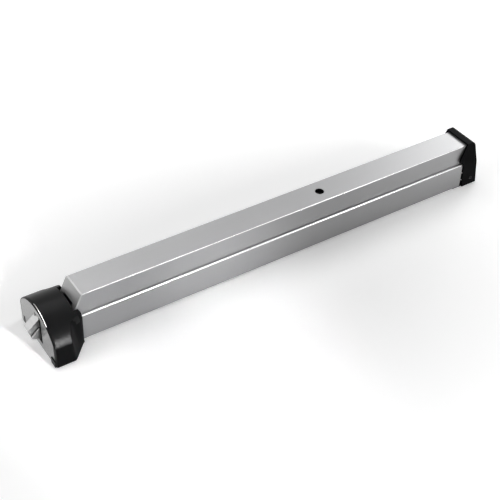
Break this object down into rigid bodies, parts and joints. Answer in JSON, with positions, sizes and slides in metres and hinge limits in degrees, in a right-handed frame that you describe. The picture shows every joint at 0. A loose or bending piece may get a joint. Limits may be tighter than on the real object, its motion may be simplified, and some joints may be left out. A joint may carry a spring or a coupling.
{
  "type": "rim exit device",
  "caption": "Push-pad rim exit device: satin pad in an aluminium rail, black domed latch head with a pivoting bevelled latch and deadlatch, and a black end cap.",
  "frame": {"origin": "centre of the four head screw holes, on the face that lies on the door", "axes": "+X along the bar from the latch head to the end cap, +Z out of the door, +Y across the bar"},
  "size_m": [0.836, 0.121, 0.0875],
  "materials": {
    "anodised": "satin clear anodised",
    "plated_steel": "zinc plated",
    "latch_steel": "brushed",
    "spring_steel": "drawn wire",
    "black_cover": "semi-gloss black",
    "black_steel": "black",
    "black_collar": "matt black",
    "nylon": "natural nylon",
    "rubber": "matt",
    "hub_metal": "turned"
  },
  "bodies": {
    "frame": {"head_chassis": "plated_steel", "head_cover": "black_cover", "cover_clips": "plated_steel", "latch_frame": "plated_steel", "latch_frame_rivets": "plated_steel", "latch_pin": "plated_steel", "latch_pin_clip": "plated_steel", "latch_guide": "black_collar", "latch_spring": "spring_steel", "deadlatch_spring": "spring_steel", "hub_retainer": "plated_steel", "hub_rivets": "plated_steel", "rail": "anodised", "rail_screws": "plated_steel", "crank_bracket_head": "plated_steel", "crank_bracket_tail": "plated_steel", "bracket_rivets": "plated_steel", "pivot_pin_head": "plated_steel", "pivot_pin_tail": "plated_steel", "bar_guide_head": "nylon", "bar_guide_tail": "nylon", "guide_screws": "plated_steel", "spring_bracket": "plated_steel", "spring_rod": "plated_steel", "return_spring": "spring_steel", "spring_rivets": "plated_steel", "dogging_catch": "plated_steel", "catch_rivets": "plated_steel", "pad_bumpers": "rubber", "end_bracket": "black_steel", "end_cap": "black_cover", "end_cap_screws": "plated_steel", "rail_side_rivets": "anodised"},
    "push_bar": {"push_pad": "anodised", "pad_end_plate": "plated_steel", "pad_end_rivets": "anodised", "pad_end_plug": "black_cover", "pad_hanger_head": "plated_steel", "pad_hanger_tail": "plated_steel", "dogging_collar": "black_collar"},
    "dogging_key_screw": {"dogging_screw": "latch_steel", "dogging_clip": "latch_steel"},
    "crank_head": {"bell_crank_head": "plated_steel", "crank_pin_head": "plated_steel"},
    "crank_tail": {"bell_crank_tail": "plated_steel", "crank_pin_tail": "plated_steel"},
    "pull_bar": {"connecting_bar": "plated_steel", "latch_link": "plated_steel", "link_rivets": "plated_steel"},
    "latch": {"latch_bolt": "latch_steel", "latch_link_pin": "plated_steel"},
    "deadlatch_lever": {"deadlatch": "latch_steel", "deadlatch_liner": "black_collar"},
    "trim_hub_body": {"trim_hub": "hub_metal"}
  },
  "joints": [
    {"name": "pad_press", "type": "slide", "parent": "frame", "child": "push_bar", "axis": [0, 0, -1], "range_m": [0, 0.013], "stiffness_N_per_m": 2500, "springref_m": -0.012},
    {"name": "dogging_turn", "type": "hinge", "parent": "push_bar", "child": "dogging_key_screw", "pos_m": [0.472, 0, 0.08], "axis": [0, 0, 1], "range_deg": [0, 90]},
    {"name": "crank_head_turn", "type": "hinge", "parent": "frame", "child": "crank_head", "pos_m": [0.144, 0, 0.02], "axis": [0, 1, 0], "range_deg": [0, 28.96]},
    {"name": "crank_tail_turn", "type": "hinge", "parent": "frame", "child": "crank_tail", "pos_m": [0.616, 0, 0.02], "axis": [0, 1, 0], "range_deg": [0, 28.96]},
    {"name": "bar_slide", "type": "slide", "parent": "frame", "child": "pull_bar", "axis": [1, 0, 0], "range_m": [0, 0.0105], "deforming": ["return_spring"]},
    {"name": "latch_turn", "type": "hinge", "parent": "frame", "child": "latch", "pos_m": [-0.013, 0, 0.056], "axis": [0, -1, 0], "range_deg": [0, 35.98], "deforming": ["latch_spring", "deadlatch_spring"]},
    {"name": "deadlatch_push", "type": "hinge", "parent": "latch", "child": "deadlatch_lever", "pos_m": [-0.013, 0, 0.056], "axis": [0, -1, 0], "range_deg": [0, 20], "stiffness_Nm_per_rad": 0.05, "springref_deg": -34.38},
    {"name": "hub_turn", "type": "hinge", "parent": "frame", "child": "trim_hub_body", "pos_m": [0.012, 0, 0], "axis": [0, 0, 1], "range_deg": [-20, 20]}
  ],
  "couplings": [
    {"joint": "crank_head_turn", "follows": "pad_press", "rad_per_m": 38.874},
    {"joint": "crank_tail_turn", "follows": "pad_press", "rad_per_m": 38.874},
    {"joint": "bar_slide", "follows": "pad_press", "ratio": 0.80769},
    {"joint": "latch_turn", "follows": "pad_press", "rad_per_m": 48.301}
  ]
}
